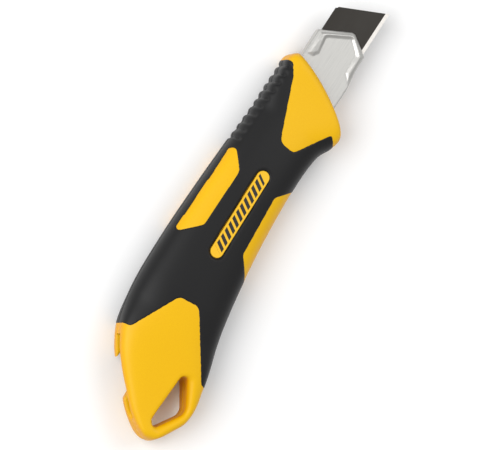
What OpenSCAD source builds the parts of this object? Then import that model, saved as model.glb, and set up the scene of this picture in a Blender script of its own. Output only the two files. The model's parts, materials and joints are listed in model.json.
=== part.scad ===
// Snap-off utility knife, 18 mm blade class, with an auto-lock slider.
// X runs along the blade towards its tip, +Y towards the blade's back, +Z out of the badge side.
// Inside this file the blade axis is Y = 0 and the parting plane of the handle is Z = 0;
// to_frame() then puts the origin at the bottom centre of the whole knife, lying slider side down.

/* [Blade] */
// Blade width
blade_w = 18; // [17.8:0.1:18.2]
// Blade thickness
blade_t = 0.5; // [0.4:0.05:0.6]
// Blade length from tip to tail end
blade_l = 100; // [90:1:110]
// Angle between the snap lines and the cutting edge
snap_angle = 62; // [58:1:66]
// Distance between snap lines along the blade
snap_pitch = 10; // [9:0.5:12]
// Width of the ground bevel on the cutting edge
bevel_w = 1.3; // [0.8:0.1:1.6]
// Where the blade tip stands along X
tip_x = 92.7; // [88:0.1:93]

/* [Handle] */
// Half thickness of the badge side at the palm swell
swell_t = 10.4; // [10:0.1:11]
// Half thickness at the tail
tail_t = 6.6; // [6:0.1:7.5]
// Half thickness at the nose
nose_t = 8.2; // [7.5:0.1:9]
// Depth of the flat resting face below the parting plane
rest_z = 9.2; // [9.1:0.1:9.6]
// Thickness of the rubber over the yellow core
rubber_t = 1.6; // [1.2:0.1:2]

/* [Channel] */
// Sheet thickness of the blade channel
sheet_t = 0.6; // [0.5:0.05:0.6]
// Outside depth of the channel
channel_d = 4.2; // [4.1:0.05:4.4]
// Outer face of the channel above the parting plane
channel_top = 3.0; // [2.8:0.1:3.2]
// Height of the pressed rim at the mouth
rim_h = 0.9; // [0.6:0.1:1.1]
// Distance between lock notches in the channel's lips
notch_pitch = 5; // [4:0.5:6]

/* [Slider] */
// Width of the slot for the slider's neck
slot_w = 10.5; // [10.3:0.1:11]
// Width of the thumb track around the slot
track_w = 16; // [15.6:0.1:17]
// Length of the thumb button
button_l = 30; // [26:1:32]
// Play of the button on its carrier, each way
button_play = 1.2; // [0.8:0.1:1.4]

/* [Hidden] */
$fn = 32;

nylon_yellow = "#F2B71C";
rubber_black = "#2E2D2E";
steel_light = "#C9CACB";
steel_dark = "#454341";
steel_spring = "#9FA3A6";
button_black = "#232426";

// Outline of the handle as two rows of points from tail to nose: the back edge and the cutting-edge side.
back_edge = [[-86.4, -18.4], [-84.9, -14.2], [-81, -8.2], [-75.5, -2.4], [-69, 4.1], [-63, 8.8], [-54.5, 13],
             [-40, 15.6], [-20, 16.3], [0, 16], [20, 15.3], [40, 14.5], [52, 14.1], [58.3, 14.1], [61.6, 11.6]];
belly_edge = [[-85.8, -21], [-82.6, -23.5], [-78.2, -26], [-73.6, -28.2], [-67.5, -28.5], [-60.5, -27], [-51, -24.8],
              [-38, -21.3], [-20, -18.2], [0, -15.9], [20, -14.8], [33, -15.5], [39, -18], [43.6, -18.8], [47.6, -16]];
last_rib = len(back_edge) - 1;
nose_bow = 1.7;             // how far the slanted front edge of the nose bows out
nose_round = 1;             // ribs over which the front edge is rounded
tail_round = 1.2;           // ribs over which the tail end is rounded
swell_p = 2.7;              // squareness of the section at the palm
end_p = 5.4;                // squareness of the section at nose and tail
tail_span = [-35, -80];     // where the thickness falls towards the tail
nose_span = [5, 55];        // where it falls towards the nose
square_tail = [-45, -65];   // where the section turns square towards the tail
square_nose = [36, 50];     // and towards the nose
over = 1;                   // how far a cutter runs past what it cuts
big = 200;

blade_z = channel_top - sheet_t - 0.8;      // underside of the blade
channel_floor = channel_top - channel_d;    // outer face of the lips
carrier_z = [channel_floor + sheet_t + 0.2, blade_z - 0.1];
wall_back = blade_w/2 + 1;                  // outer faces of the channel's side walls
wall_edge = -blade_w/2 - 1.9;
wall_edge_mouth = -blade_w/2 - 0.8;
pocket_gap = 0.1;
lip_front = 72.2;                           // the lips stop short of the mouth
lip_in = 5.6;                               // half the gap between the lips
tail_cut = [[-59, wall_back], [-80, wall_edge]];  // slanted rear end of the channel
track_z = 6;                                // floor of the thumb track below the parting plane
track_front = 53;
slot_front = 50.5;

stud_x = tip_x - blade_l + 6.2;             // blade hole, 6.2 mm from the tail end
stud_r = 1.9;
hole_r = 2;
shank_r = 1.2;
carrier_gap = 0.15;
button_x = stud_x - 8.5;                    // middle of the thumb button, its foot clear behind the stud
carrier_x = [button_x - 12.5, stud_x + 8];
foot_l = 9;
foot_w = 5;
neck_l = 24;
rivet_r = 3.4;
rivet_z = blade_z - 0.75;                   // underside of the rivet head
tooth_x = button_x + 8.5;                   // lock teeth of the spring
tooth_w = 1.8;
notch_w = tooth_w + 0.6;
notch_d = 1.2;
notch_span = [-56, 50];
notch_first = tooth_x - notch_pitch * floor((tooth_x - notch_span[0]) / notch_pitch);

screw_at = [[44.4, -14.3], [-8, -13.8], [-53, -15.8]];
screw_r = 1.1;
head_r = 2.1;
head_z = -4.6;
pin_at = [[-30, 12.4], [-30, -13.4]];
pin_r = 1;
tab_r = 1.7;                                // ears of the channel that the locating pins pass through
tab_t = 1;

rivet_l = 3;
thumb_grooves = 4;
groove_pitch = 2.6;
guide_x = [53.5, 67];

badge_at = [-0.7, -1.4];
badge_tilt = 1.1;
badge_l = 36.4;
badge_w = 4.8;
badge_top = 9.95;
badge_t = 2;
recess_gap = 0.75;                          // width of the dark ledge around the badge
recess_drop = 0.25;

scallops = 9;
scallop_x = 22.6;
scallop_pitch = 4;
scallop_r = 2.6;
scallop_depth = 0.55;

knife_low = -86.4;                          // tail end of the handle along X
knife_y = [-28.5, 16];                      // the handle's widest points along Y
frame_shift = [-(knife_low + tip_x)/2, -(knife_y[0] + knife_y[1])/2, rest_z];

// ---- curves and sections ----
function smooth(v) = let (c = min(max(v, 0), 1)) c*c*(3 - 2*c);
function ramp(x, span) = smooth((x - span[0]) / (span[1] - span[0]));
function curve(a, b, c, d, t) =
    0.5*(2*b + (c - a)*t + (2*a - 5*b + 4*c - d)*t*t + (3*b - a - 3*c + d)*t*t*t);
function along(row, u) = let (i = min(floor(u), len(row) - 2))
    curve(row[max(i - 1, 0)], row[i], row[i + 1], row[min(i + 2, len(row) - 1)], u - i);
function swell(x) = swell_t - (swell_t - tail_t)*ramp(x, tail_span) - (swell_t - nose_t)*ramp(x, nose_span);
function squareness(x) = swell_p + (end_p - swell_p)*(ramp(x, square_tail) + ramp(x, square_nose));
function bulge(v, p) = pow(max(1 - pow(abs(v), p), 0), 1/p);
function end_round(u) = u > last_rib - nose_round ? bulge(1 - (last_rib - u)/nose_round, 2.6)
    : u < tail_round ? bulge(1 - u/tail_round, 2.2) : 1;

// One point of the handle's skin: u counts ribs from tail to nose, v runs from -1 at the belly to 1 at the back.
function skin(u, v, inset, side) = let (
    t = along(back_edge, u), b = along(belly_edge, u),
    across = (t - b)/norm(t - b), half = norm(t - b)/2 - inset,
    bow = nose_bow*ramp(u, [last_rib - 3, last_rib])*(1 - v*v),
    p = (t + b)/2 + across*half*v + [across[1], -across[0]]*bow)
    [p[0], p[1], side*(swell(p[0]) - inset)*bulge(v, squareness(p[0]))*end_round(u)];

// Corners of a polygon given as [x, y, radius], rounded with arcs.
function rounded(corners) = [for (i = [0:len(corners) - 1]) let (
    n = len(corners), c = corners[i], p = [c[0], c[1]],
    a = [corners[(i + n - 1) % n][0], corners[(i + n - 1) % n][1]] - p,
    b = [corners[(i + 1) % n][0], corners[(i + 1) % n][1]] - p,
    ua = a/norm(a), ub = b/norm(b), half = acos(ua*ub)/2,
    reach = c[2]/tan(half), centre = p + (ua + ub)/norm(ua + ub)*c[2]/sin(half),
    start = p + ua*reach - centre, turn = (180 - 2*half)*sign(ua[0]*ub[1] - ua[1]*ub[0]))
    each [for (k = [0:3]) let (w = -turn*k/3)
        centre + [start[0]*cos(w) - start[1]*sin(w), start[0]*sin(w) + start[1]*cos(w)]]];

ribs = [0, 0.4, 1.2, 2.5, 4, 5.5, 7, 9, 11, 12.2, 13.2, 13.7, 14];
steps = [-1, -0.96, -0.84, -0.6, -0.3, 0, 0.3, 0.6, 0.84, 0.96, 1];

// Half of the handle as a solid between the parting plane and its skin.
module half_body(side, inset) {
    n = len(steps);
    m = len(ribs);
    points = [for (u = ribs) for (v = steps) skin(u, v, inset, side)];
    top = [for (i = [0:m - 2]) for (j = [0:n - 2]) let (
        q = [i*n + j, i*n + j + 1, (i + 1)*n + j + 1, (i + 1)*n + j],
        k = (i < m/2) == (j < n/2 - 1) ? 0 : 1)
        each [[q[k], q[k + 1], q[k + 2]], [q[k], q[k + 2], q[(k + 3) % 4]]]];
    tail = [for (j = [0:n - 2]) [j + 1, j, n], [n - 1, n, 2*n - 1]];
    middle = [for (i = [1:m - 3]) let (a = i*n, b = a + n) each [[a, b, b + n - 1], [a, b + n - 1, a + n - 1]]];
    a = (m - 2)*n;
    nose = [for (j = [0:n - 2]) [a, a + n + j, a + n + j + 1], [a, a + 2*n - 1, a + n - 1]];
    faces = concat(top, tail, middle, nose);
    polyhedron(points, side > 0 ? faces : [for (f = faces) [f[0], f[2], f[1]]]);
}

// ---- the regions where the yellow core comes to the surface ----
tail_field = [[-58, 20, 1], [-56.6, 9.2, 2], [-38.2, 0.6, 3], [-37.2, -7.2, 3], [-59.4, -24.2, 2], [-60.4, -40, 1],
              [-100, -40, 1], [-100, 20, 1]];
nose_field = [[54.4, 30, 1], [55.9, 12, 2.2], [52.6, 9.4, 3], [29.8, 0.4, 3], [29.2, -5.6, 2.4], [43.2, -14.2, 1.2],
              [38.6, -20, 0.4], [50, -30, 1], [80, -30, 1], [80, 30, 1]];
back_window = [[-18.8, 14.8, 0.8], [-11.2, 7.7, 2.4], [12, 7.6, 2.4], [18.6, 12.6, 0.8], [17.8, 14.1, 0.8]];
belly_window = [[-19.8, -18.6, 0.6], [-12, -10.8, 2], [11.6, -9.2, 2], [17.8, -14.4, 0.6], [20, -30, 1], [-20, -30, 1]];
lanyard_hole = [[-82.4, -18.4, 1.6], [-79.6, -16.2, 1.6], [-56, -16.7, 1.7], [-70.6, -25.8, 4]];

module field(corners) { polygon(rounded(corners)); }
module tall(side) { translate([0, 0, side > 0 ? -over : -big/4]) linear_extrude(big/4 + over) children(); }
module yellow_fields(side) {
    tall(side) field(tail_field);
    tall(side) field(nose_field);
    tall(side) field(back_window);
    tall(side) field(belly_window);
}

// Shallow grooves across the back edge, for the finger that rests there.
module scallop_cuts() {
    for (k = [0:scallops - 1]) let (x = scallop_x + k*scallop_pitch)
        translate([x, lookup(x, back_edge) + scallop_r - scallop_depth, 0])
            cylinder(h = 12, r = scallop_r, center = true);
}

// ---- room for the channel, the slider and the fasteners ----
module channel_outline(gap) {
    polygon([[tail_cut[0][0] - 30, wall_back + gap], [70, wall_back + gap], [70, wall_edge - gap],
             [tail_cut[1][0] - 30, wall_edge - gap]]);
}
module channel_pocket() {
    translate([0, 0, channel_floor - pocket_gap])
        linear_extrude(channel_d + 2*pocket_gap) channel_outline(pocket_gap);
}
module slot_outline(width, front) {
    field([[-100, -width/2, 1], [front, -width/2, 0.45*width], [front, width/2, 0.45*width], [-100, width/2, 1]]);
}
module slider_room() {
    translate([0, 0, -big/4]) linear_extrude(big/4) slot_outline(slot_w, slot_front);
    translate([0, 0, -big/4]) linear_extrude(big/4 - track_z) slot_outline(track_w, track_front);
}
module at_points(points) { for (p = points) translate([p[0], p[1], 0]) children(); }
module screw_holes() {
    at_points(screw_at) {
        translate([0, 0, -over - 10]) cylinder(h = 10 + over + 0.1, r = screw_r + 0.1);
        translate([0, 0, -20]) cylinder(h = 20 + head_z, r = head_r + 0.2);
    }
}
module lanyard_cut() { translate([0, 0, -20]) linear_extrude(40) field(lanyard_hole); }

// ---- handle ----
module shell_blank(side) {
    difference() {
        intersection() {
            half_body(side, 0);
            union() {
                half_body(side, rubber_t);
                yellow_fields(side);
            }
        }
        below_rest();
    }
}
// The rubber is a thin free-form skin, so it is worked out as one faceted solid.
module grip_blank(side) {
    resize([0, 0, 0]) difference() {
        half_body(side, 0);
        half_body(side, rubber_t);
        yellow_fields(side);
        scallop_cuts();
        below_rest();
        channel_pocket();
        children();
    }
}
module below_rest() { translate([-big/2, -big/2, -rest_z - 20]) cube([big, big, 20]); }
module badge_side_shell() {
    color(nylon_yellow) difference() {
        shell_blank(1);
        channel_pocket();
        lanyard_cut();
        at_points(screw_at) translate([0, 0, -over]) cylinder(h = 6.4 + over, r = screw_r);
        at_points(pin_at) translate([0, 0, -over]) cylinder(h = 4 + over, r = pin_r);
        translate([0, 0, badge_top - badge_t]) linear_extrude(10) badge_outline(0.05);
    }
}
module slider_side_shell() {
    color(nylon_yellow) difference() {
        resize([0, 0, 0]) difference() {
            shell_blank(-1);
            channel_pocket();
            tab_pockets();
            slider_room();
            lanyard_cut();
        }
        screw_holes();
        at_points(pin_at) translate([0, 0, -4]) cylinder(h = 4 + over, r = pin_r);
    }
}
module badge_side_grip() {
    color(rubber_black) grip_blank(1) {
        tall(1) badge_outline(0.05);
        translate([0, 0, badge_top - recess_drop]) linear_extrude(5) badge_outline(recess_gap);
    }
}
// On the slider side the thumb track splits the rubber in two: one pad by the back, one by the belly.
module slider_side_pad(side_y) {
    color(rubber_black) grip_blank(-1) {
        slider_room();
        screw_holes();
        translate([-big/2, side_y > 0 ? -big : 0, -big/2]) cube([big, big, big]);
    }
}
module back_pad() { slider_side_pad(1); }
module belly_pad() { slider_side_pad(-1); }
module badge_outline(gap) {
    translate(badge_at) rotate(badge_tilt) {
        for (s = [-1, 1]) translate([s*(badge_l - badge_w)/2, 0]) circle(d = badge_w + 2*gap);
        translate([-(badge_l - badge_w)/2, -badge_w/2 - gap]) square([badge_l - badge_w, badge_w + 2*gap]);
    }
}
module badge_plate() {
    color(nylon_yellow) translate([0, 0, badge_top - badge_t]) linear_extrude(badge_t) badge_outline(0);
}

// ---- blade channel: one folded sheet, open towards the slider ----
mouth = [[-59, wall_back], [73, wall_back], [79.6, -1.8], [79.2, -3.2], [75.8, -7.6], [74.2, wall_edge_mouth],
         [68, wall_edge_mouth - 0.15], [61, wall_edge], [-80, wall_edge]];
rim_band = [[63.4, wall_back - 0.7, 0.4], [72.8, wall_back - 0.7, 0.6], [79.4, -2, 2.2], [75.6, -7.4, 1],
            [73.8, wall_edge_mouth + 0.2, 0.4], [62.6, -10, 0.4], [62.6, -9.4, 0.2], [65.2, -6.9, 0.4],
            [72.8, -6.4, 0.8], [76.6, -2, 0.9], [72, 5.8, 0.8], [65.4, 4.8, 0.8], [63.4, 6.4, 0.8]];
module lip(sign_y, wall) {
    y = [min(sign_y*lip_in, wall), max(sign_y*lip_in, wall)];
    difference() {
        intersection() {
            linear_extrude(sheet_t) polygon(mouth);
            translate([-big/2, y[0], -over]) cube([big/2 + lip_front, y[1] - y[0], 4]);
        }
        for (x = [notch_first:notch_pitch:notch_span[1]])
            translate([x - notch_w/2, sign_y*lip_in - notch_d, -over]) cube([notch_w, 2*notch_d, 4]);
    }
}
module pin_tabs(gap) {
    for (p = pin_at) let (inner = p[1] > 0 ? wall_back : wall_edge) {
        translate([p[0] - tab_r - gap, min(inner, p[1])]) square([2*(tab_r + gap), abs(p[1] - inner)]);
        translate(p) circle(r = tab_r + gap);
    }
}
module tab_pockets() {
    translate([0, 0, channel_floor - pocket_gap]) linear_extrude(tab_t + over + pocket_gap) pin_tabs(pocket_gap);
}
module blade_channel() {
    color(steel_light) {
        translate([0, 0, channel_top - sheet_t]) linear_extrude(sheet_t) polygon(mouth);
        translate([0, 0, channel_floor]) linear_extrude(channel_d) {
            polygon([[-59, wall_back], [73, wall_back], [73, wall_back - sheet_t], [-58.4, wall_back - sheet_t]]);
            polygon([[-80, wall_edge], [-79.4, wall_edge + sheet_t], [61, wall_edge + sheet_t],
                     [68, wall_edge_mouth - 0.15 + sheet_t], [74, wall_edge_mouth + sheet_t],
                     [74, wall_edge_mouth], [68, wall_edge_mouth - 0.15], [61, wall_edge]]);
        }
        translate([0, 0, channel_floor]) lip(1, wall_back);
        translate([0, 0, channel_floor]) lip(-1, wall_edge);
        difference() {
            translate([0, 0, channel_top]) linear_extrude(rim_h) field(rim_band);
            translate([62, 0, channel_top]) rotate([0, -6.5, 0]) translate([-10, -20, 0]) cube([18.2, 40, 5]);
        }
        translate([0, 0, channel_floor]) linear_extrude(tab_t) difference() {
            pin_tabs(0);
            for (p = pin_at) translate(p) circle(r = pin_r + 0.05);
        }
    }
}
module locating_pins() {
    color(steel_light) at_points(pin_at) translate([0, 0, -4]) cylinder(h = 8, r = pin_r);
}
module shell_screws() {
    color(steel_light) at_points(screw_at) difference() {
        union() {
            translate([0, 0, head_z - 0.2]) cylinder(h = 6 - head_z, r = screw_r);
            translate([0, 0, head_z - 1.4]) cylinder(h = 1.4, r = head_r);
        }
        for (turn = [0, 90]) rotate([0, 0, turn])
            translate([-1.3, -0.3, head_z - 1.4 - over]) cube([2.6, 0.6, 0.9 + over]);
    }
}

// ---- blade ----
front_run = blade_w/tan(snap_angle);
module blade() {
    tail = tip_x - blade_l;
    half = blade_w/2;
    color(steel_dark) translate([0, 0, blade_z]) difference() {
        linear_extrude(blade_t) polygon([[tail, half - 1.5], [tail + 1.5, half], [tip_x - front_run, half],
            [tip_x - front_run + 0.35, half - 0.65], [tip_x - front_run + 0.9, half - 0.75], [tip_x, -half],
            [tail + 1.5, -half], [tail, -half + 1.5]]);
        for (face = [-1, 1]) translate([tail - over, -half, blade_t/2 + face*blade_t/2])
            rotate([face*atan(0.4*blade_t/bevel_w), 0, 0])
                translate([0, -2, face > 0 ? 0 : -1]) cube([blade_l + 2*over, 2 + bevel_w, 1]);
        translate([stud_x, 0, -over]) cylinder(h = 3, r = hole_r);
        for (k = [1:7]) let (x = tip_x - k*snap_pitch)
            translate([x, -half, 0]) rotate([0, 0, 180 - snap_angle])
                translate([bevel_w, -0.1, -over]) cube([blade_w/sin(snap_angle) - bevel_w - 0.5, 0.2, over + 0.14]);
    }
}

// ---- slider ----
module blade_carrier() {
    low = wall_edge + sheet_t + carrier_gap;
    high = wall_back - sheet_t - carrier_gap;
    slot_l = foot_l + 2*button_play + 0.4;
    color(steel_spring) difference() {
        translate([0, 0, carrier_z[0]]) linear_extrude(carrier_z[1] - carrier_z[0]) difference() {
            polygon([[carrier_x[0], low], [carrier_x[1] - 2, low], [carrier_x[1], low + 2],
                     [carrier_x[1], high - 2], [carrier_x[1] - 2, high], [carrier_x[0], high]]);
            translate([button_x - slot_l/2, -foot_w/2 - 0.2]) square([slot_l, foot_w + 0.4]);
            translate([stud_x, 0]) circle(r = shank_r);
        }
        translate([button_x - slot_l/2, -rivet_r - 0.2, rivet_z - 0.1]) cube([slot_l, 2*rivet_r + 0.4, 3]);
    }
}
module blade_stud() {
    color(steel_light) translate([stud_x, 0, 0]) {
        translate([0, 0, carrier_z[0]]) cylinder(h = carrier_z[1] - carrier_z[0] + 0.05, r = shank_r);
        translate([0, 0, carrier_z[1]]) cylinder(h = blade_z + blade_t - carrier_z[1] + 0.1, r = stud_r);
    }
}
spring_w = 0.5;
module lock_spring() {
    rear = button_x - foot_l/2 - button_play - 1.2;
    tooth = [tooth_x - tooth_w/2, tooth_x + tooth_w/2];
    outer = [[rear, 3.8], [tooth[0], 4.7], [tooth[0], lip_in + 0.9], [tooth[1], lip_in + 0.9], [tooth[1], 4.2]];
    inner = [[tooth[0], 4.2], [rear + spring_w, 3.3]];
    loop = concat(outer, inner);
    mirrored = [for (k = [len(loop) - 1:-1:0]) [loop[k][0], -loop[k][1]]];
    color(steel_spring) translate([0, 0, channel_floor + 0.05]) linear_extrude(0.5)
        polygon(concat(loop, mirrored));
}
module slider_button() {
    head_w = track_w - 1.4;
    head_z = -rest_z + 0.3;
    corners = [[-1, -1], [1, -1], [1, 1], [-1, 1]];
    neck_z = -track_z - 0.2;
    color(button_black) difference() {
        union() {
            translate([button_x - foot_l/2, -foot_w/2, channel_floor - 0.5])
                cube([foot_l, foot_w, rivet_z - channel_floor + 0.5]);
            translate([0, 0, neck_z - 0.1]) linear_extrude(channel_floor - neck_z)
                field([for (c = corners) [button_x + c[0]*neck_l/2, c[1]*(slot_w/2 - 0.3), 2]]);
            translate([0, 0, head_z]) linear_extrude(neck_z - head_z)
                field([for (c = corners) [button_x + c[0]*button_l/2, c[1]*head_w/2, 4]]);
        }
        for (k = [-thumb_grooves:thumb_grooves]) translate([button_x + k*groove_pitch, 0, head_z - 0.4])
            rotate([90, 0, 0]) cylinder(h = head_w + 2, r = 0.9, center = true);
        translate([button_x, 0, rivet_z - rivet_l]) cylinder(h = rivet_l + 1, r = 1);
    }
}
module slider_rivet() {
    color(steel_light) translate([button_x, 0, rivet_z]) {
        cylinder(h = 0.5, r = rivet_r);
        translate([0, 0, -rivet_l]) cylinder(h = rivet_l + 0.1, r = 1);
    }
}
// Moulded block that carries the blade behind the mouth.
module blade_guide() {
    low = channel_floor + sheet_t;
    color(button_black) translate([0, 0, low]) linear_extrude(blade_z - 0.1 - low)
        polygon([[guide_x[0], 8], [guide_x[0] + 1.2, wall_back - sheet_t], [guide_x[1], wall_back - sheet_t],
                 [guide_x[1] + 3, 0], [guide_x[1], wall_edge_mouth + sheet_t], [guide_x[0] + 12, -9.2],
                 [guide_x[0] + 1.2, -9.4], [guide_x[0], -8]]);
}

module to_frame() { translate(frame_shift) children(); }
to_frame() {
    badge_side_shell();
    slider_side_shell();
    badge_side_grip();
    back_pad();
    belly_pad();
    badge_plate();
    blade_channel();
    locating_pins();
    shell_screws();
    blade();
    blade_carrier();
    blade_stud();
    lock_spring();
    slider_button();
    slider_rivet();
    blade_guide();
}
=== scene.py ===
"""Looks of a snap-off utility knife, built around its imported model."""
import json
import math
import bpy
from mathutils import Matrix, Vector

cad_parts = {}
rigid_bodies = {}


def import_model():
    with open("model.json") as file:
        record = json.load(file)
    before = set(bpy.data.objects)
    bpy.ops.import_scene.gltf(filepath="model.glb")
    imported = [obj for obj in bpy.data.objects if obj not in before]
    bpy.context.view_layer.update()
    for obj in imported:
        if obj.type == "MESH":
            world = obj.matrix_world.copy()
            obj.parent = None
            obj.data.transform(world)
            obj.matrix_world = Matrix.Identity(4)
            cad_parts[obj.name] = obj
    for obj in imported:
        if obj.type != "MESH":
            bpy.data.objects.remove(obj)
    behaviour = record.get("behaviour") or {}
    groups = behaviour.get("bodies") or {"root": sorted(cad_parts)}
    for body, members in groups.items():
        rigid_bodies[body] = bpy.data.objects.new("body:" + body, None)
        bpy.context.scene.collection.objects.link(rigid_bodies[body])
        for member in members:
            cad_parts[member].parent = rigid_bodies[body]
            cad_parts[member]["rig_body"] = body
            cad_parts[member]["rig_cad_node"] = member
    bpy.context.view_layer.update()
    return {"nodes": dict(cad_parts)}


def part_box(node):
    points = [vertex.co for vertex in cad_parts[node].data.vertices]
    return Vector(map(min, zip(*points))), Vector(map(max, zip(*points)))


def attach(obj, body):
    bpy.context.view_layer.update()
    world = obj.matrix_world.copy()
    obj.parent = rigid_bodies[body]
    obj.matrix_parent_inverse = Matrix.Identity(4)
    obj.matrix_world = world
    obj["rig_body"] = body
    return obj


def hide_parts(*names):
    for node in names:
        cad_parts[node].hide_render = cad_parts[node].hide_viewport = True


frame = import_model()
MM = 0.001
FAR = 30                                            # mm, past any surface of the handle

blade_low, blade_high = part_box("blade")
parting_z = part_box("badge_side_shell")[0].z
TIP_X = 92.7
origin = Vector((blade_high.x - TIP_X * MM, (blade_low.y + blade_high.y) / 2, parting_z))


def at(x, y, z=0.0):
    """A point given in mm from the blade's axis and the handle's parting plane."""
    return origin + Vector((x, y, z)) * MM


# ---- camera ----
VIEW_RIGHT = Vector((0.5377, -0.7971, 0.2746))
VIEW_BACK = Vector((-0.1742, 0.2136, 0.9613))
FRAME_WIDTH = 180.5
CAMERA_FAR = 3000.0
SENSOR = 36.0
CLIP = (0.1, 20)
LOOK_AT = (0.0, -8.8, 0.0)


def add_camera():
    """A long lens, turned so that its axes are the three view directions."""
    bpy.ops.object.camera_add(location=(0, 0, 0))
    camera = bpy.context.object
    camera.name = "studio_camera"
    back = VIEW_BACK.normalized()
    right = (VIEW_RIGHT - back * VIEW_RIGHT.dot(back)).normalized()
    up = back.cross(right)
    place = camera.matrix_world.copy()
    for row in range(3):
        place[row][0], place[row][1], place[row][2] = right[row], up[row], back[row]
    place.translation = at(*LOOK_AT) + back * CAMERA_FAR * MM
    camera.matrix_world = place
    camera.data.sensor_width = SENSOR
    camera.data.lens = SENSOR * CAMERA_FAR / FRAME_WIDTH
    camera.data.clip_start, camera.data.clip_end = CLIP
    bpy.context.scene.camera = camera


add_camera()

# ---- the handle's form ----
BACK_EDGE = [(-86.4, -18.4), (-84.9, -14.2), (-81, -8.2), (-75.5, -2.4), (-69, 4.1), (-63, 8.8),
             (-54.5, 13), (-40, 15.6), (-20, 16.3), (0, 16), (20, 15.3), (40, 14.5), (52, 14.1),
             (58.3, 14.1), (61.6, 11.6)]
BELLY_EDGE = [(-85.8, -21), (-82.6, -23.5), (-78.2, -26), (-73.6, -28.2), (-67.5, -28.5), (-60.5, -27),
              (-51, -24.8), (-38, -21.3), (-20, -18.2), (0, -15.9), (20, -14.8), (33, -15.5), (39, -18),
              (43.6, -18.8), (47.6, -16)]
LAST_RIB = len(BACK_EDGE) - 1
SWELL_T, TAIL_T, NOSE_T = 10.35, 6.6, 8.2
REST_DEPTH = 9.2
RUBBER_T = 1.3
TAIL_SPAN, NOSE_SPAN = (-35, -80), (5, 55)          # where the thickness falls
SQUARE_TAIL, SQUARE_NOSE = (-45, -65), (36, 50)     # where the section turns square
PALM_POWER, MORE_POWER = 2.7, 2.7
NOSE_BOW, BOWED_RIBS = 1.7, 3
NOSE_ROUND, NOSE_POWER = 1, 2.6
TAIL_ROUND, TAIL_POWER = 1.2, 2.2
HOLE_REGION = (-52, -12)                            # the tail corner that holds the lanyard hole
HOLE_EDGE_R, HOLE_MORE_R, HOLE_R_SPAN = 0.9, 1.9, (-17, -21)
HOLE_EDGE_FROM = 3
HOLE = [(-82.4, -18.4, 1.6), (-79.6, -16.2, 1.6), (-56, -16.7, 1.7), (-70.6, -25.8, 4)]
TAIL_FIELD = [(-58, 20, 1), (-56.6, 9.2, 2), (-38.2, 0.6, 3), (-37.2, -7.2, 3), (-59.4, -24.2, 2),
              (-60.4, -40, 1), (-100, -40, 1), (-100, 20, 1)]
NOSE_FIELD = [(55.9, 30, 1), (57, 12.2, 2.2), (52.6, 9.4, 3), (29.8, 0.4, 3), (29.2, -5.6, 2.4),
              (43.2, -14.2, 1.2), (38.6, -20, 0.4), (50, -30, 1), (80, -30, 1), (80, 30, 1)]
BACK_WINDOW = [(-18.8, 14.8, 0.8), (-11.2, 7.7, 2.4), (12, 7.6, 2.4), (18.6, 12.6, 0.8), (17.8, 14.1, 0.8)]
BELLY_WINDOW = [(-19.8, -18.6, 0.6), (-12, -10.8, 2), (11.6, -9.2, 2), (17.8, -14.4, 0.6), (20, -30, 1),
                (-20, -30, 1)]
FIELDS = [TAIL_FIELD, NOSE_FIELD, BACK_WINDOW, BELLY_WINDOW]


def smooth(v):
    """Eases a 0 to 1 value at both ends."""
    v = min(max(v, 0.0), 1.0)
    return v * v * (3 - 2 * v)


def ramp(x, start, end):
    """Rises smoothly from 0 at start to 1 at end."""
    return smooth((x - start) / (end - start))


def along(row, u):
    """A point on the smooth curve through a row of points."""
    i = min(max(int(u), 0), len(row) - 2)
    t = u - i
    a, b, c, d = (row[min(max(k, 0), len(row) - 1)] for k in (i - 1, i, i + 1, i + 2))
    return [0.5 * (2 * b[k] + (c[k] - a[k]) * t + (2 * a[k] - 5 * b[k] + 4 * c[k] - d[k]) * t * t
                   + (3 * b[k] - a[k] - 3 * c[k] + d[k]) * t * t * t) for k in (0, 1)]


def swell(x):
    """Half thickness of the handle."""
    return SWELL_T - (SWELL_T - TAIL_T) * ramp(x, *TAIL_SPAN) - (SWELL_T - NOSE_T) * ramp(x, *NOSE_SPAN)


def squareness(x):
    """Power of the section's curve: the higher, the squarer."""
    return PALM_POWER + MORE_POWER * (ramp(x, *SQUARE_TAIL) + ramp(x, *SQUARE_NOSE))


def bulge(v, p):
    """Height of a rounded section of power p at v, from 1 in the middle to 0 at -1 and 1."""
    return max(1 - abs(v) ** p, 0.0) ** (1 / p)


def rounded(corners, steps=8):
    """Outline of a polygon whose corners (x, y, radius) are turned into arcs."""
    out = []
    n = len(corners)
    for i, (cx, cy, r) in enumerate(corners):
        p = Vector((cx, cy))
        a = (Vector(corners[i - 1][:2]) - p).normalized()
        b = (Vector(corners[(i + 1) % n][:2]) - p).normalized()
        half = a.angle(b) / 2
        centre = p + (a + b).normalized() * r / math.sin(half)
        start = p + a * r / math.tan(half) - centre
        turn = (math.pi - 2 * half) * (1 if a.x * b.y - a.y * b.x > 0 else -1)
        for k in range(steps + 1):
            w = -turn * k / steps
            out.append((centre.x + start.x * math.cos(w) - start.y * math.sin(w),
                        centre.y + start.x * math.sin(w) + start.y * math.cos(w)))
    return out


def edge_distance(outline, x, y):
    """Distance from a point to an outline, negative inside it."""
    nearest, inside = 1e9, False
    for i, (bx, by) in enumerate(outline):
        ax, ay = outline[i - 1]
        dx, dy = bx - ax, by - ay
        t = min(max(((x - ax) * dx + (y - ay) * dy) / max(dx * dx + dy * dy, 1e-12), 0), 1)
        nearest = min(nearest, math.hypot(x - ax - t * dx, y - ay - t * dy))
        if (ay > y) != (by > y) and x < ax + (y - ay) / (by - ay) * dx:
            inside = not inside
    return -nearest if inside else nearest


HOLE_OUTLINE = rounded(HOLE)


def fillet(d, r):
    """How far a surface drops at distance d from an edge rounded to radius r."""
    return r - math.sqrt(max(r * r - (r - d) ** 2, 0)) if d < r else 0.0


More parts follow.
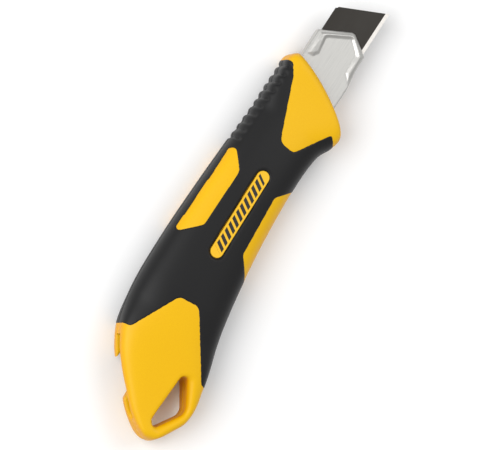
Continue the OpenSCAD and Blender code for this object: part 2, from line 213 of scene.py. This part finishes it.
def skin(u, v, inset, side):
    """A point of the handle's skin: u counts ribs from tail to nose, v runs from belly to back."""
    t, b = along(BACK_EDGE, u), along(BELLY_EDGE, u)
    length = math.hypot(t[0] - b[0], t[1] - b[1])
    ax, ay = (t[0] - b[0]) / length, (t[1] - b[1]) / length
    half = length / 2 - inset
    bow = NOSE_BOW * ramp(u, LAST_RIB - BOWED_RIBS, LAST_RIB) * (1 - v * v)
    x = (t[0] + b[0]) / 2 + ax * half * v + ay * bow
    y = (t[1] + b[1]) / 2 + ay * half * v - ax * bow
    ends = 1.0
    if u > LAST_RIB - NOSE_ROUND:
        ends = bulge(1 - (LAST_RIB - u) / NOSE_ROUND, NOSE_POWER)
    elif u < TAIL_ROUND:
        ends = bulge(1 - u / TAIL_ROUND, TAIL_POWER)
    z = (swell(x) - inset) * bulge(v, squareness(x)) * ends
    if x < HOLE_REGION[0] and y < HOLE_REGION[1] and z > HOLE_EDGE_FROM:
        d = max(edge_distance(HOLE_OUTLINE, x, y), 0)
        z -= fillet(d, HOLE_EDGE_R + HOLE_MORE_R * ramp(y, *HOLE_R_SPAN))
    if side < 0:
        z = min(z, REST_DEPTH - inset * 0.1)
    return x, y, side * max(z, 0)


# ---- ways of working ----
def alone(obj):
    """Selects this object and no other."""
    bpy.ops.object.select_all(action="DESELECT")
    obj.select_set(True)
    bpy.context.view_layer.objects.active = obj


def edit(obj, kind="FACE"):
    """Opens an object for editing with all of it selected."""
    alone(obj)
    bpy.ops.object.mode_set(mode="EDIT")
    bpy.ops.mesh.select_mode(type=kind)
    bpy.ops.mesh.select_all(action="SELECT")


def done():
    """Leaves edit mode."""
    bpy.ops.object.mode_set(mode="OBJECT")


def named(name):
    """Names the object that was just made."""
    obj = bpy.context.object
    obj.name = name
    obj.data.name = name
    return obj


def modify(obj, kind, **settings):
    """Adds a modifier with its settings and applies it."""
    alone(obj)
    step = obj.modifiers.new(kind.lower(), kind)
    for key, value in settings.items():
        setattr(step, key, value)
    bpy.ops.object.modifier_apply(modifier=step.name)


def cut(obj, *tools, how="DIFFERENCE"):
    """Cuts an object with closed tools, one after another, and takes the tools away."""
    for tool in tools:
        modify(obj, "BOOLEAN", operation=how, solver="MANIFOLD", object=tool)
        bpy.data.objects.remove(tool)


def prism(outline, low, high):
    """A flat outline drawn round a circle's points and pulled up into a solid."""
    bpy.ops.object.select_all(action="DESELECT")
    bpy.ops.mesh.primitive_circle_add(vertices=len(outline), radius=1, fill_type="NGON")
    obj = named("cutter")
    for vertex, (x, y) in zip(obj.data.vertices, outline):
        vertex.co = at(x, y, low)
    edit(obj)
    bpy.ops.mesh.extrude_region_move(TRANSFORM_OT_translate={"value": (0, 0, (high - low) * MM)})
    bpy.ops.mesh.select_all(action="SELECT")
    bpy.ops.mesh.normals_make_consistent(inside=False)
    done()
    return obj


EDGE_CROWD, END_CROWD = 1.7, 1.25                   # how much closer the grid's lines lie at its borders
BASE_PULL, BASE_DROP = 0.05, 0.02                   # the flat side is pulled out, then laid level


def crowded(t, power):
    """Moves a place between -1 and 1 towards its nearer end."""
    return math.copysign(1 - (1 - min(abs(t), 1)) ** power, t)


def skin_sheet(name, side, inset, across, lengthways):
    """A grid laid on the handle's skin on one side; inset tells how far under it, at each place."""
    bpy.ops.object.select_all(action="DESELECT")
    bpy.ops.mesh.primitive_grid_add(x_subdivisions=lengthways, y_subdivisions=across, size=2)
    obj = named(name)
    for vertex in obj.data.vertices:
        v = crowded(vertex.co.y, EDGE_CROWD)
        u = LAST_RIB / 2 * (1 + crowded(vertex.co.x, END_CROWD))
        u = min(max(u, 0), LAST_RIB)
        vertex.co = at(*skin(u, v, inset(*skin(u, v, 0, side)[:2]), side))
    return obj


def solid_half(name, side, inset, across=64, lengthways=230):
    """Half of the handle as one solid, its flat side on the parting plane."""
    obj = skin_sheet(name, side, inset, across, lengthways)
    edit(obj)
    bpy.ops.mesh.extrude_region_move(TRANSFORM_OT_translate={"value": (0, 0, -side * BASE_PULL * MM)})
    done()
    for vertex in obj.data.vertices:
        if vertex.select:
            vertex.co.z = at(0, 0, -side * BASE_DROP).z
    edit(obj)
    bpy.ops.mesh.normals_make_consistent(inside=False)
    done()
    return obj


def join(first, *others):
    """Makes one object of several."""
    alone(first)
    for other in others:
        other.select_set(True)
    bpy.ops.object.join()
    return first


def fields(side, grow):
    """One cutter over all the places where the yellow comes to the surface, widened by grow."""
    low, high = (-1, FAR) if side > 0 else (-FAR, 1)
    return join(*[prism(spread(rounded(corners), grow), low, high) for corners in FIELDS])


def spread(outline, grow):
    """An outline moved outwards by grow, point by point."""
    area = sum(outline[i - 1][0] * p[1] - p[0] * outline[i - 1][1] for i, p in enumerate(outline))
    turn = 1 if area > 0 else -1
    moved = []
    for i, (x, y) in enumerate(outline):
        (ax, ay), (bx, by) = outline[i - 1], outline[(i + 1) % len(outline)]
        dx, dy = bx - ax, by - ay
        size = math.hypot(dx, dy) or 1
        moved.append((x + turn * dy / size * grow, y - turn * dx / size * grow))
    return moved


def mould(obj, grain, turns):
    """Turns a cut solid into one moulded piece, its edges softened as a moulding's are."""
    modify(obj, "REMESH", mode="VOXEL", voxel_size=grain * MM)
    modify(obj, "SMOOTH", factor=0.5, iterations=turns)
    alone(obj)
    bpy.ops.object.shade_smooth()


# ---- materials ----
def linear(hex_colour):
    """An sRGB hex colour as linear RGBA."""
    parts = [int(hex_colour[i:i + 2], 16) / 255 for i in (1, 3, 5)]
    return [p / 12.92 if p <= 0.04045 else ((p + 0.055) / 1.055) ** 2.4 for p in parts] + [1.0]


def node(tree, kind, links=None, **settings):
    """Adds a node: settings are its properties, links its sockets' sources, values or hex colours."""
    made = tree.nodes.new(kind)
    for key, value in settings.items():
        setattr(made, key, value)
    for socket, source in (links or {}).items():
        if isinstance(source, bpy.types.NodeSocket):
            tree.links.new(source, made.inputs[socket])
        else:
            made.inputs[socket].default_value = linear(source) if isinstance(source, str) else source
    return made


def material(name, **sockets):
    """A new material and its shader, with the sockets that are the same all over."""
    made = bpy.data.materials.new(name)
    made.use_nodes = True
    tree = made.node_tree
    shader = tree.nodes["Principled BSDF"]
    for socket, value in sockets.items():
        shader.inputs[socket.replace("_", " ")].default_value = value
    return made, tree, shader


def mottle(tree, size_mm, stretch=(1, 1, 1), detail=2.0, roughness=0.5):
    """Unevenness of a real size, fixed in the piece. Returns a value from 0 to 1."""
    place = node(tree, "ShaderNodeTexCoord").outputs["Object"]
    turned = node(tree, "ShaderNodeMapping", {"Vector": place, "Scale": stretch}).outputs["Vector"]
    settings = {"Vector": turned, "Scale": 1000 / size_mm, "Detail": detail, "Roughness": roughness}
    return node(tree, "ShaderNodeTexNoise", settings).outputs["Fac"]


def grained(tree, shader, size_mm, depth_mm, strength, stretch=(1, 1, 1), detail=3):
    """Surface grain of a real size and depth, as bump on the shader. Returns its value."""
    grain = mottle(tree, size_mm, stretch, detail, 0.6)
    bump = node(tree, "ShaderNodeBump", {"Height": grain, "Strength": strength, "Distance": depth_mm * MM})
    tree.links.new(bump.outputs["Normal"], shader.inputs["Normal"])
    return grain


def toned(tree, shader, factor, first, second, smoothest, roughest):
    """Runs the colour and the roughness of a surface together between two states."""
    mixed = node(tree, "ShaderNodeMix", {0: factor, 6: first, 7: second}, data_type="RGBA")
    rough = node(tree, "ShaderNodeMapRange", {"Value": factor, "To Min": smoothest, "To Max": roughest})
    tree.links.new(mixed.outputs[2], shader.inputs["Base Color"])
    tree.links.new(rough.outputs["Result"], shader.inputs["Roughness"])


def clouded(tree, first, second, size_mm, stretch=(1, 1, 1)):
    """A colour that drifts between two over a distance, as a moulding's flow or a bath leaves it."""
    blend = {0: mottle(tree, size_mm, stretch), 6: first, 7: second}
    return node(tree, "ShaderNodeMix", blend, data_type="RGBA").outputs[2]


# painted shade: surfaces that face sideways are coloured a deeper orange, standing in for the yellow as it
# looks in shade
WALL_SHADE_TONE, WALL_SHADE_FACING = "#D98C00", (0.1, 0.8)


def glass_filled_nylon():
    """Glass-filled nylon, moulded: a satin yellow with a fine sandy grain, and a painted shade of deeper
    orange on its upright walls.
    """
    made, tree, shader = material("glass_filled_nylon_moulded", IOR=1.53, Specular_IOR_Level=0.22)
    grain = grained(tree, shader, 0.35, 0.02, 0.35)
    colour = clouded(tree, "#E4B200", "#E8BA02", 18)
    # painted shade: the colour turns to the orange wall shade as the surface turns upright
    normal = node(tree, "ShaderNodeTexCoord").outputs["Normal"]
    facing = node(tree, "ShaderNodeSeparateXYZ", {"Vector": normal}).outputs["Z"]
    level = node(tree, "ShaderNodeMath", {0: facing}, operation="ABSOLUTE").outputs[0]
    limits = {"Value": level, "From Min": WALL_SHADE_FACING[0], "From Max": WALL_SHADE_FACING[1]}
    flat = node(tree, "ShaderNodeMapRange", limits).outputs["Result"]
    shaded_walls = node(tree, "ShaderNodeMix", {0: flat, 6: WALL_SHADE_TONE, 7: colour}, data_type="RGBA").outputs[2]
    toned(tree, shader, grain, shaded_walls, "#DCA500", 0.36, 0.5)
    return made


def thermoplastic_elastomer():
    """Thermoplastic elastomer, moulded: a soft dull black with a fine skin and a little bloom."""
    made, tree, shader = material("thermoplastic_elastomer_moulded", IOR=1.5, Specular_IOR_Level=0.26,
                                  Sheen_Weight=0.03)
    grain = grained(tree, shader, 0.28, 0.025, 0.5)
    toned(tree, shader, grain, clouded(tree, "#131314", "#171718", 12), "#0F0F10", 0.4, 0.54)
    return made


def black_nylon():
    """Nylon, moulded black: a fine even grain with a low shine."""
    made, tree, shader = material("nylon_black_moulded", IOR=1.53)
    toned(tree, shader, grained(tree, shader, 0.3, 0.02, 0.4), "#1D1D1E", "#27272A", 0.38, 0.55)
    return made


def brushed_stainless():
    """Stainless sheet, pressed and brushed: pale, with fine lines along the blade."""
    made, tree, shader = material("stainless_sheet_brushed", Metallic=1.0)
    lines = grained(tree, shader, 0.25, 0.006, 0.35, stretch=(0.03, 1, 1), detail=2)
    toned(tree, shader, lines, "#B4B3B0", "#D2D1CD", 0.36, 0.5)
    return made


def plain_steel(name, dark, light, rough):
    """Small steel pieces, turned or stamped: even, with fine tool marks."""
    made, tree, shader = material(name, Metallic=1.0)
    marks = grained(tree, shader, 0.3, 0.004, 0.3, stretch=(0.2, 1, 1))
    toned(tree, shader, marks, dark, light, rough, rough + 0.12)
    return made


BEVEL_W, BEVEL_BLUR = 1.3, 0.04


def black_oxide_blade():
    """Carbon tool steel, blackened, then ground along the edge: dull black with a bright honed strip."""
    made, tree, shader = material("tool_steel_blackened_and_ground", Metallic=1.0)
    place = node(tree, "ShaderNodeTexCoord").outputs["Object"]
    y = node(tree, "ShaderNodeSeparateXYZ", {"Vector": place}).outputs["Y"]
    edge_y = blade_low.y + BEVEL_W * MM
    limits = {"Value": y, "From Min": edge_y + BEVEL_BLUR * MM, "From Max": edge_y - BEVEL_BLUR * MM}
    strip = node(tree, "ShaderNodeMapRange", limits).outputs["Result"]
    lines = grained(tree, shader, 0.3, 0.004, 0.3, stretch=(0.05, 1, 1))
    black = clouded(tree, "#3C3936", "#464441", 9, (0.5, 1, 1))
    bright = clouded(tree, "#DAD5CF", "#F0EDE8", 0.25, (1, 0.05, 1))
    mixed = node(tree, "ShaderNodeMix", {0: strip, 6: black, 7: bright}, data_type="RGBA").outputs[2]
    rough = node(tree, "ShaderNodeMapRange", {"Value": lines, "To Min": 0.42, "To Max": 0.55})
    tree.links.new(mixed, shader.inputs["Base Color"])
    tree.links.new(rough.outputs["Result"], shader.inputs["Roughness"])
    return made


BADGE_AT, BADGE_L, BADGE_W, BADGE_TILT = (-0.7, -1.4), 36.4, 4.8, math.radians(1.1)


BAR_PITCH, BAR_SHARE, BAR_LEAN = 2.6, 0.6, 0.6
BARS_HALF_HIGH, BARS_HALF_LONG = 1.7, 15.4


def printed_badge():
    """Moulded nylon badge, pad-printed with plain slanting bars: flat dark ink, a little shinier."""
    made, tree, shader = material("nylon_badge_pad_printed", IOR=1.5)
    grained(tree, shader, 0.3, 0.012, 0.3)
    place = node(tree, "ShaderNodeTexCoord").outputs["Object"]
    local = node(tree, "ShaderNodeMapping", {"Vector": place, "Location": -at(*BADGE_AT)}).outputs["Vector"]
    axes = node(tree, "ShaderNodeSeparateXYZ", {"Vector": local})
    worked = {"x": axes.outputs["X"], "y": axes.outputs["Y"]}
    for name, first, operation, second in (
            ("tilt", "x", "MULTIPLY", math.tan(BADGE_TILT)),
            ("level", "y", "SUBTRACT", "tilt"),
            ("lean", "level", "MULTIPLY", BAR_LEAN),
            ("slant", "x", "SUBTRACT", "lean"),
            ("count", "slant", "MULTIPLY", 1 / (BAR_PITCH * MM)),
            ("shifted", "count", "ADD", 0.5),
            ("beat", "shifted", "FLOORED_MODULO", 1.0),
            ("bars", "beat", "LESS_THAN", BAR_SHARE),
            ("height", "level", "ABSOLUTE", 0.0),
            ("inside", "height", "LESS_THAN", BARS_HALF_HIGH * MM),
            ("reach", "slant", "ABSOLUTE", 0.0),
            ("within", "reach", "LESS_THAN", BARS_HALF_LONG * MM),
            ("frame", "inside", "MULTIPLY", "within"),
            ("ink", "bars", "MULTIPLY", "frame")):
        inputs = {0: worked[first], 1: worked.get(second, second)}
        worked[name] = node(tree, "ShaderNodeMath", inputs, operation=operation).outputs[0]
    toned(tree, shader, worked["ink"], clouded(tree, "#E6B003", "#EBBA08", 14), "#1C1B1A", 0.4, 0.3)
    return made


YELLOW = glass_filled_nylon()
RUBBER = thermoplastic_elastomer()
STAINLESS = brushed_stainless()
BLACK_NYLON = black_nylon()
ZINC = plain_steel("mild_steel_zinc_plated", "#A9ABAD", "#C4C6C8", 0.28)
SPRING = plain_steel("spring_steel_blued", "#6B6E74", "#868A90", 0.25)


def dress(obj, finish):
    """Gives a piece its material."""
    obj.data.materials.clear()
    obj.data.materials.append(finish)


# ---- handle pieces ----
def blocks(low, high):
    """A box between two corners, as a cutter."""
    corners = [(low[0], low[1]), (high[0], low[1]), (high[0], high[1]), (low[0], high[1])]
    return prism(corners, low[2], high[2])


def stadium(length, width, middle, tilt, steps=14):
    """Outline of a bar with round ends."""
    out = []
    for end in (1, -1):
        for k in range(steps + 1):
            w = math.pi * (k / steps - 0.5) + (0 if end > 0 else math.pi)
            x = end * (length - width) / 2 + width / 2 * math.cos(w)
            y = width / 2 * math.sin(w)
            out.append((middle[0] + x * math.cos(tilt) - y * math.sin(tilt),
                        middle[1] + x * math.sin(tilt) + y * math.cos(tilt)))
    return out


def back_height(x):
    """Where the back edge lies at x."""
    for (ax, ay), (bx, by) in zip(BACK_EDGE, BACK_EDGE[1:]):
        if ax <= x <= bx:
            return ay + (by - ay) * (x - ax) / (bx - ax)
    return 0.0


GROOVE_FIRST, GROOVE_PITCH, GROOVE_LAST, GROOVE_DEPTH = 22.4, 3.6, 54.8, 1.0
GROOVE_POWER, GROOVE_REACH, GROOVE_FULL, GROOVE_END = 1.3, 2.9, 1.1, 1


def finger_grooves(x, y):
    """How far the rubber sinks between the round ridges on the back edge near the nose."""
    start, stop = GROOVE_FIRST - GROOVE_END, GROOVE_LAST + GROOVE_END
    if not start < x < stop:
        return 0.0
    valley = (1 - abs(math.sin(math.pi * (x - GROOVE_FIRST) / GROOVE_PITCH))) ** GROOVE_POWER
    ends = ramp(x, start, GROOVE_FIRST) * ramp(x, stop, GROOVE_LAST)
    edge = back_height(x)
    return GROOVE_DEPTH * valley * ends * ramp(y, edge - GROOVE_REACH, edge - GROOVE_FULL)


def rubber_under(x, y):
    """Depth of the rubber's inner face, which keeps its thickness under the grooves."""
    return RUBBER_T + finger_grooves(x, y)


TAIL_OPEN = -100
SLOT_HALF, SLOT_FRONT, SLOT_R, SLOT_Z = 5.25, 50.5, 4.7, 0.5
TRACK_HALF, TRACK_FRONT, TRACK_R, TRACK_Z = 8, 53, 7.2, -6


def track_tools():
    """The slider's slot and the thumb track round it, open at the tail."""
    outlines = [rounded([(TAIL_OPEN, -half, 1), (front, -half, r), (front, half, r), (TAIL_OPEN, half, 1)])
                for half, front, r in ((SLOT_HALF, SLOT_FRONT, SLOT_R), (TRACK_HALF, TRACK_FRONT, TRACK_R))]
    return [prism(outlines[0], -FAR, SLOT_Z), prism(outlines[1], -FAR, TRACK_Z)]


FIELD_GAP = 0.08                                    # between rubber and yellow
BADGE_GAP, LEDGE_W, LEDGE_Z, BADGE_FLOOR, BADGE_SKY = 0.3, 1.6, 9.7, 5, 20


def grip(name, side, nodes, keep=None):
    """Rubber over one side: a layer cut away where the yellow shows. keep tells back from belly."""
    piece = solid_half(name, side, finger_grooves, 72, 340)
    cut(piece, solid_half("core", side, rubber_under, 60, 240), fields(side, FIELD_GAP))
    if side > 0:
        for gap, low in ((BADGE_GAP, BADGE_FLOOR), (LEDGE_W, LEDGE_Z)):
            cut(piece, prism(stadium(BADGE_L + gap, BADGE_W + gap, BADGE_AT, BADGE_TILT), low, BADGE_SKY))
    else:
        cut(piece, *track_tools())
        low_y, high_y = (-60, 0) if keep > 0 else (0, 60)
        cut(piece, blocks((-120, low_y, -40), (120, high_y, 40)))
    mould(piece, GRIP_GRAIN, 5)
    dress(piece, RUBBER)
    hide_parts(*nodes)
    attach(piece, "handle")
    return piece


POCKET, POCKET_Z = [(-100, 10.1), (70, 10.1), (70, -11), (-100, -11)], (-1.3, 3.1)
YELLOW_OUTLINES = [rounded(corners, 2) for corners in FIELDS]
YELLOW_DROP, YELLOW_UNDER, YELLOW_FALL, CORE_GAP = 0.12, 0.5, 2.4, 0.1
SCREWS = [(44.4, -14.3), (-8, -13.8), (-53, -15.8)]
SCREW_BORE, SCREW_SEAT = (4.6, 4.59), -4.6
THROUGH = 20                                        # mm, past both faces of a shell


def yellow_inset(x, y):
    """The yellow comes up in its fields, runs a little under the rubber's edge, and drops below it."""
    nearest = min(edge_distance(outline, x, y) for outline in YELLOW_OUTLINES)
    under = ramp(nearest, YELLOW_UNDER, YELLOW_UNDER + YELLOW_FALL)
    return YELLOW_DROP + (RUBBER_T + CORE_GAP - YELLOW_DROP + finger_grooves(x, y)) * under


def shell(name, side, node_name):
    """One half of the yellow handle."""
    piece = solid_half(name, side, yellow_inset)
    cut(piece, prism(POCKET, *POCKET_Z), prism(HOLE_OUTLINE, -THROUGH, THROUGH))
    if side < 0:
        cut(piece, *track_tools())
        cut(piece, join(*[prism(stadium(*SCREW_BORE, spot, 0), -THROUGH, SCREW_SEAT)
                          for spot in SCREWS]))
    mould(piece, SHELL_GRAIN, 4)
    dress(piece, YELLOW)
    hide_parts(node_name)
    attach(piece, "handle")
    return piece


GRIP_GRAIN, SHELL_GRAIN = ((0.3, 0.42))

grip("badge_side_grip_moulding", 1, ["badge_side_grip"])
grip("back_pad_moulding", -1, ["back_pad"], keep=1)
grip("belly_pad_moulding", -1, ["belly_pad"], keep=-1)
shell("badge_side_shell_moulding", 1, "badge_side_shell")
shell("slider_side_shell_moulding", -1, "slider_side_shell")


# ---- blade channel ----
CHANNEL_TOP, SHEET_T = 3.0, 0.6
RIM_H, RIM_SLOPE, RIM_FROM = 0.72, 1.6, 60
# the rim's legs start low and rise towards the mouth
RIM_LOW, RIM_GAIN, RIM_RISE = 0.55, 0.45, (63, 71)
FOLD_R = 0.7
WEB_START = 39.01
WEB_MIDDLE, WEB_HALF, WEB_CELLS = (59.5, -0.45), (20.5, 10.7), (210, 110)
MOUTH = [(-59, 10, 0.1), (73, 10, 0.5), (79.6, -1.8, 2.2), (75.8, -7.6, 2.4), (74.2, -9.8, 0.8),
         (68, -9.95, 1), (61, -10.9, 1), (-80, -10.9, 0.1)]
RIM_BAND = [(63.2, 9.3, 0.6), (72.8, 9.3, 0.8), (79.4, -2, 2.2), (75.6, -7.4, 1), (73.8, -9.6, 0.6),
            (62.4, -10.2, 0.4), (62.4, -9.4, 0.2), (65.2, -6.7, 0.6), (72.8, -6.4, 0.8), (76.6, -2, 0.9),
            (72, 5.8, 0.8), (65.6, 4.8, 1), (63.2, 6.4, 1)]


def web_height(x, y, mouth, band):
    """The pressed web: a soft raised rim round the mouth, and rounded folds along both walls."""
    inside = max(-edge_distance(band, x, y), 0.0) if x > RIM_FROM else 0.0
    rise = RIM_H * smooth(inside / RIM_SLOPE) * (RIM_LOW + RIM_GAIN * ramp(x, *RIM_RISE))
    edge = max(-edge_distance(mouth, x, y), 0.0)
    return CHANNEL_TOP + rise - fillet(edge, FOLD_R)


def pressed_web():
    """The channel's face near the mouth, as a sheet with its rim pressed up."""
    mouth, band = rounded(MOUTH), rounded(RIM_BAND)
    bpy.ops.object.select_all(action="DESELECT")
    bpy.ops.mesh.primitive_grid_add(x_subdivisions=WEB_CELLS[0], y_subdivisions=WEB_CELLS[1], size=2)
    web = named("channel_web")
    for vertex in web.data.vertices:
        x, y = (WEB_MIDDLE[k] + vertex.co[k] * WEB_HALF[k] for k in (0, 1))
        vertex.co = at(x, y, web_height(x, y, mouth, band))
    edit(web)
    bpy.ops.mesh.extrude_region_move(TRANSFORM_OT_translate={"value": (0, 0, -2 * MM)})
    bpy.ops.mesh.select_all(action="SELECT")
    bpy.ops.mesh.normals_make_consistent(inside=False)
    done()
    cut(web, prism(spread(mouth, -0.05), -5, 10), how="INTERSECT")
    cut(web, blocks((30, -10.3, -6), (90, 9.4, CHANNEL_TOP - SHEET_T)))
    return web


def packed_rest():
    """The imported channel's walls, lips and plain rear face, without the face that the web stands for."""
    source = frame["nodes"]["blade_channel"]
    rest = source.copy()
    rest.data = source.data.copy()
    bpy.context.scene.collection.objects.link(rest)
    rest.parent = None
    rest.modifiers.clear()
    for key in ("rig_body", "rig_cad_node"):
        if key in rest:
            del rest[key]
    edit(rest, "VERT")
    bpy.ops.mesh.remove_doubles(threshold=1e-6)
    done()
    cut(rest, blocks((WEB_START, -20, CHANNEL_TOP - SHEET_T - 0.02), (90, 20, 20)))
    return rest


def channel():
    """The blade channel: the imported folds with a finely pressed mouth."""
    web, rest = pressed_web(), packed_rest()
    alone(rest)
    web.select_set(True)
    bpy.ops.object.join()
    piece = named("blade_channel_pressing")
    bpy.ops.object.shade_smooth_by_angle(angle=math.radians(35))
    dress(piece, STAINLESS)
    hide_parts("blade_channel")
    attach(piece, "handle")


channel()

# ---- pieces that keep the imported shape, with broken edges ----
FINISHES = {"badge_plate": (printed_badge(), 0.25), "locating_pins": (ZINC, 0.1),
            "shell_screws": (ZINC, 0.12), "blade_guide": (BLACK_NYLON, 0.2),
            "blade": (black_oxide_blade(), 0), "blade_carrier": (ZINC, 0.15), "blade_stud": (ZINC, 0.1),
            "lock_spring": (SPRING, 0), "slider_button": (BLACK_NYLON, 0.3), "slider_rivet": (ZINC, 0.1)}
for name, (finish, edge_mm) in FINISHES.items():
    piece = frame["nodes"][name]
    dress(piece, finish)
    if edge_mm:
        weld = piece.modifiers.new("weld", "WELD")
        weld.merge_threshold = 1e-6
        soft = piece.modifiers.new("soft_edge", "BEVEL")
        soft.width = edge_mm * MM
        soft.segments = 2
        soft.limit_method = "ANGLE"
        soft.angle_limit = math.radians(40)

# ---- studio ----
bpy.context.scene.view_settings.view_transform = "Standard"


def soft_light(name, place, size, power):
    """A round area lamp aimed at the knife."""
    bpy.ops.object.light_add(type="AREA", location=place)
    lamp = bpy.context.object
    lamp.name = name
    lamp.data.shape = "DISK"
    lamp.data.size = size
    lamp.data.energy = power
    lamp.rotation_euler = Vector(place).to_track_quat("Z", "Y").to_euler()


bpy.ops.mesh.primitive_plane_add(size=6, location=(0, 0, 0))
floor = named("studio_floor")
paper, tree, shader = material("white_paper_floor", Roughness=0.9)
shader.inputs["Base Color"].default_value = linear("#F6F6F6")
dress(floor, paper)
world = bpy.context.scene.world or bpy.data.worlds.new("studio")
bpy.context.scene.world = world
world.use_nodes = True
sky = world.node_tree.nodes["Background"]
sky.inputs["Color"].default_value = (1, 1, 1, 1)
sky.inputs["Strength"].default_value = 0.55
soft_light("key_light", (-0.5, 0.9, 1.1), 1.3, 17)
soft_light("fill_light", (0.9, -0.3, 1.2), 1.2, 7)
